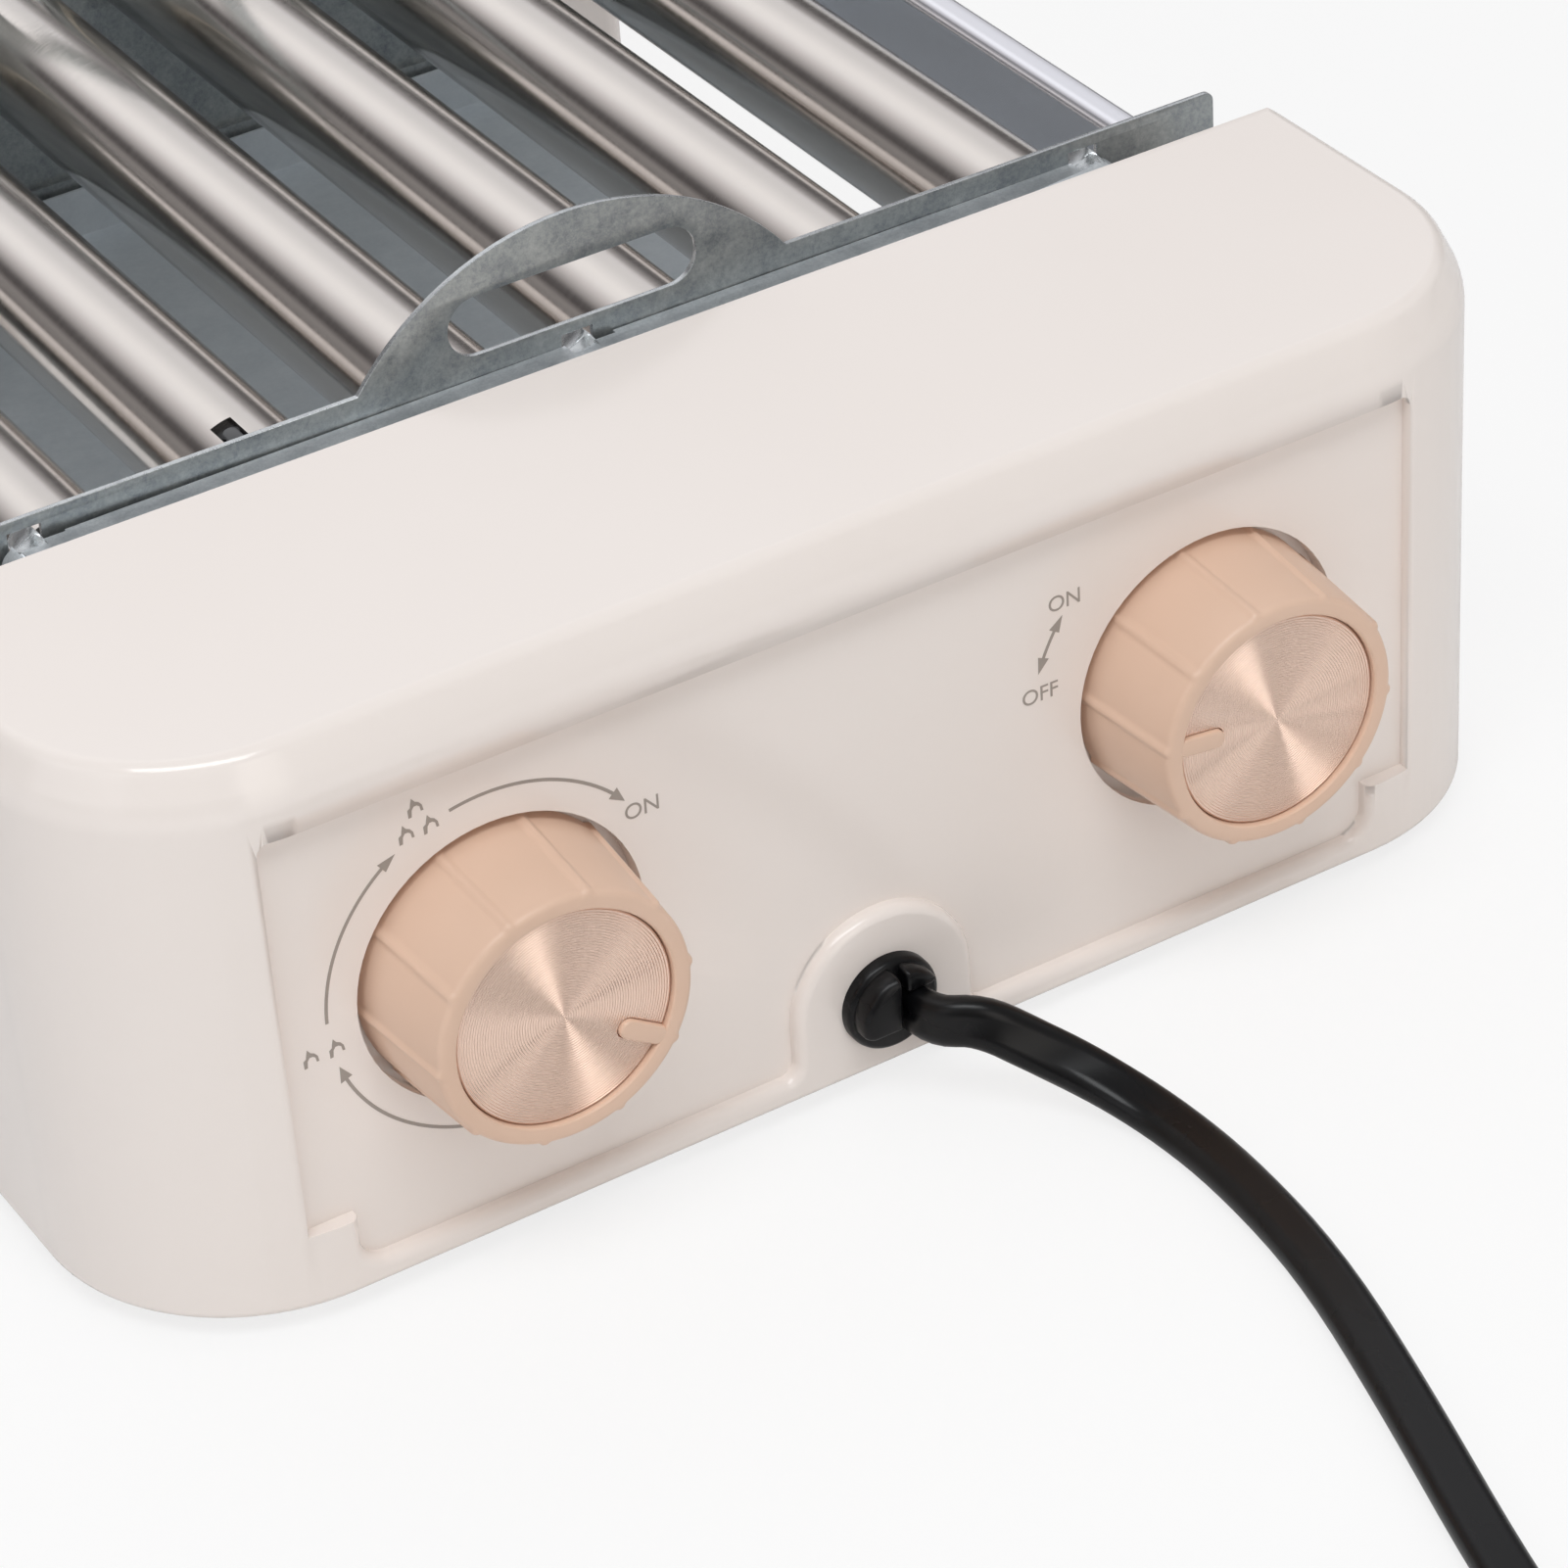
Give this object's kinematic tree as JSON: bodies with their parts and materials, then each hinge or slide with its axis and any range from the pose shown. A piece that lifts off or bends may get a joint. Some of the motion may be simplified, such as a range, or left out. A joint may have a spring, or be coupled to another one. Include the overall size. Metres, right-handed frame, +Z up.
{
  "type": "roller grill",
  "caption": "Countertop roller grill with heated stainless rollers between two moulded end housings, sheet-metal grips, a drip tray, turn knobs and a mains cord.",
  "frame": {"origin": "centre of the footprint without the cord, on the surface it stands on", "axes": "+Z up; +Y along the rollers, away from the control panel; +X to the right as the user faces the panel"},
  "size_m": [0.247, 0.5973, 0.114],
  "materials": {
    "zinc_sheet": "satin",
    "tray_sheet": "satin",
    "stainless": "polished",
    "cream_plastic": "satin gloss",
    "base_plastic": "satin",
    "knob_plastic": "satin gloss",
    "rose_gold": "spun, anodised",
    "steel": "plain",
    "black_plastic": "satin",
    "bush_plastic": "satin",
    "rubber": "matte",
    "cord_pvc": "satin"
  },
  "bodies": {
    "frame": {"front_end_plate": "zinc_sheet", "rear_end_plate": "zinc_sheet", "front_gear_shroud": "zinc_sheet", "rear_shroud": "zinc_sheet", "front_housing": "cream_plastic", "rear_housing": "cream_plastic", "front_base_cover": "base_plastic", "rear_base_cover": "base_plastic", "base_screws": "steel", "rubber_feet": "rubber", "left_side_rail": "zinc_sheet", "right_side_rail": "zinc_sheet", "rail_screws": "steel", "base_pan": "zinc_sheet", "front_bushes": "bush_plastic", "rear_bushes": "bush_plastic", "idler_pins": "steel", "gear_motor": "steel", "motor_bracket": "zinc_sheet", "heater_bracket": "zinc_sheet", "heater_rods": "steel", "heat_control": "black_plastic", "motor_switch": "black_plastic", "terminal_block": "black_plastic", "cord_gland": "black_plastic", "mains_cord": "cord_pvc", "cord_coil": "cord_pvc", "mains_plug": "cord_pvc", "plug_pins": "steel"},
    "roller_1": {"roller_tube_1": "stainless", "drive_hub_1": "black_plastic"},
    "roller_2": {"roller_tube_2": "stainless", "drive_hub_2": "black_plastic"},
    "roller_3": {"roller_tube_3": "stainless", "drive_hub_3": "black_plastic"},
    "roller_4": {"roller_tube_4": "stainless", "drive_hub_4": "black_plastic"},
    "roller_5": {"roller_tube_5": "stainless", "drive_hub_5": "black_plastic"},
    "roller_6": {"roller_tube_6": "stainless", "drive_hub_6": "black_plastic"},
    "idler_1": {"idler_gear_1": "black_plastic"},
    "idler_2": {"idler_gear_2": "black_plastic"},
    "idler_3": {"idler_gear_3": "black_plastic"},
    "idler_4": {"idler_gear_4": "black_plastic"},
    "idler_5": {"idler_gear_5": "black_plastic"},
    "motor_output": {"motor_gear": "black_plastic"},
    "heat_dial": {"heat_knob": "knob_plastic", "heat_knob_disc": "rose_gold", "heat_shaft": "steel"},
    "motor_dial": {"motor_knob": "knob_plastic", "motor_knob_disc": "rose_gold", "motor_shaft": "steel"},
    "tray": {"drip_tray": "tray_sheet"}
  },
  "joints": [
    {"name": "roller_1_spin", "type": "hinge", "parent": "frame", "child": "roller_1", "pos_m": [-0.085, 0.00785, 0.08], "axis": [0, 1, 0], "continuous": true},
    {"name": "roller_2_spin", "type": "hinge", "parent": "frame", "child": "roller_2", "pos_m": [-0.051, 0.00785, 0.08], "axis": [0, 1, 0], "continuous": true},
    {"name": "roller_3_spin", "type": "hinge", "parent": "frame", "child": "roller_3", "pos_m": [-0.017, 0.00785, 0.08], "axis": [0, 1, 0], "continuous": true},
    {"name": "roller_4_spin", "type": "hinge", "parent": "frame", "child": "roller_4", "pos_m": [0.017, 0.00785, 0.08], "axis": [0, 1, 0], "continuous": true},
    {"name": "roller_5_spin", "type": "hinge", "parent": "frame", "child": "roller_5", "pos_m": [0.051, 0.00785, 0.08], "axis": [0, 1, 0], "continuous": true},
    {"name": "roller_6_spin", "type": "hinge", "parent": "frame", "child": "roller_6", "pos_m": [0.085, 0.00785, 0.08], "axis": [0, 1, 0], "continuous": true},
    {"name": "idler_1_spin", "type": "hinge", "parent": "frame", "child": "idler_1", "pos_m": [-0.068, -0.09365, 0.08], "axis": [0, 1, 0], "continuous": true},
    {"name": "idler_2_spin", "type": "hinge", "parent": "frame", "child": "idler_2", "pos_m": [-0.034, -0.09365, 0.08], "axis": [0, 1, 0], "continuous": true},
    {"name": "idler_3_spin", "type": "hinge", "parent": "frame", "child": "idler_3", "pos_m": [0, -0.09365, 0.08], "axis": [0, 1, 0], "continuous": true},
    {"name": "idler_4_spin", "type": "hinge", "parent": "frame", "child": "idler_4", "pos_m": [0.034, -0.09365, 0.08], "axis": [0, 1, 0], "continuous": true},
    {"name": "idler_5_spin", "type": "hinge", "parent": "frame", "child": "idler_5", "pos_m": [0.068, -0.09365, 0.08], "axis": [0, 1, 0], "continuous": true},
    {"name": "motor_spin", "type": "hinge", "parent": "frame", "child": "motor_output", "pos_m": [0.017, -0.09365, 0.064], "axis": [0, 1, 0], "continuous": true},
    {"name": "heat_knob_turn", "type": "hinge", "parent": "frame", "child": "heat_dial", "pos_m": [-0.061, -0.16395, 0.049], "axis": [0, 1, 0], "range_deg": [0, 293]},
    {"name": "motor_knob_turn", "type": "hinge", "parent": "frame", "child": "motor_dial", "pos_m": [0.061, -0.16395, 0.049], "axis": [0, 1, 0], "range_deg": [0, 35]},
    {"name": "tray_slide", "type": "slide", "parent": "frame", "child": "tray", "axis": [1, 0, 0], "range_m": [0, 0.19]}
  ],
  "couplings": [
    {"joint": "roller_2_spin", "follows": "roller_1_spin", "ratio": 1},
    {"joint": "roller_3_spin", "follows": "roller_1_spin", "ratio": 1},
    {"joint": "roller_4_spin", "follows": "roller_1_spin", "ratio": 1},
    {"joint": "roller_5_spin", "follows": "roller_1_spin", "ratio": 1},
    {"joint": "roller_6_spin", "follows": "roller_1_spin", "ratio": 1},
    {"joint": "idler_1_spin", "follows": "roller_1_spin", "ratio": -1.125},
    {"joint": "idler_2_spin", "follows": "roller_1_spin", "ratio": -1.125},
    {"joint": "idler_3_spin", "follows": "roller_1_spin", "ratio": -1.125},
    {"joint": "idler_4_spin", "follows": "roller_1_spin", "ratio": -1.125},
    {"joint": "idler_5_spin", "follows": "roller_1_spin", "ratio": -1.125},
    {"joint": "motor_spin", "follows": "roller_1_spin", "ratio": -1.2857}
  ]
}
